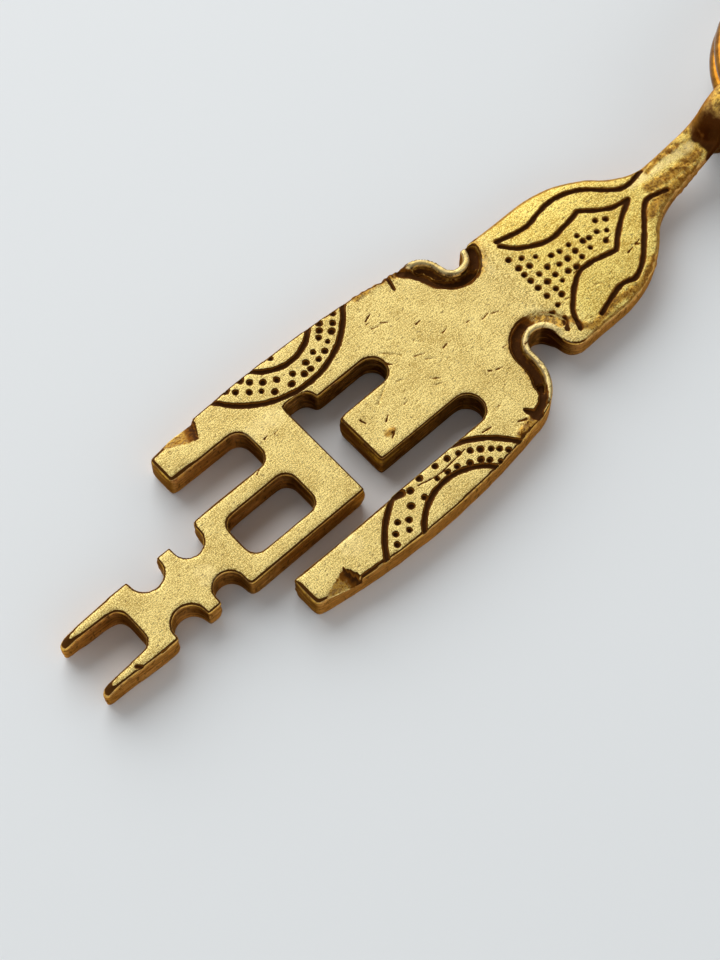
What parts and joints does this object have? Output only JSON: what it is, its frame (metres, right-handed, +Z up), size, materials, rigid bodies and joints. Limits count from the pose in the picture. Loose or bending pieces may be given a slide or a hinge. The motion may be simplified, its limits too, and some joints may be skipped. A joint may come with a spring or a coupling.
{
  "type": "keychain fob",
  "caption": "Flat-backed cast brass keychain fob in the form of a key, with a pierced bit, a forked tip and a split ring that swings in its upright eye.",
  "frame": {"origin": "point on the flat back, on the fob's centre line in the middle of its body", "axes": "+X across the fob towards its right arm, +Y along it from the fork to the eye, +Z up from the flat back"},
  "size_m": [0.024, 0.0953, 0.009],
  "materials": {
    "cast_brass": "worn satin with dark patina in the recesses",
    "polished_brass": "polished"
  },
  "bodies": {
    "fob": {"fob_casting": "cast_brass"},
    "ring": {"split_ring": "polished_brass"}
  },
  "joints": [
    {"name": "ring_swing", "type": "hinge", "parent": "fob", "child": "ring", "pos_m": [-0.0006, 0.035, 0.0045], "axis": [1, 0, 0], "range_deg": [-140, 180]}
  ]
}
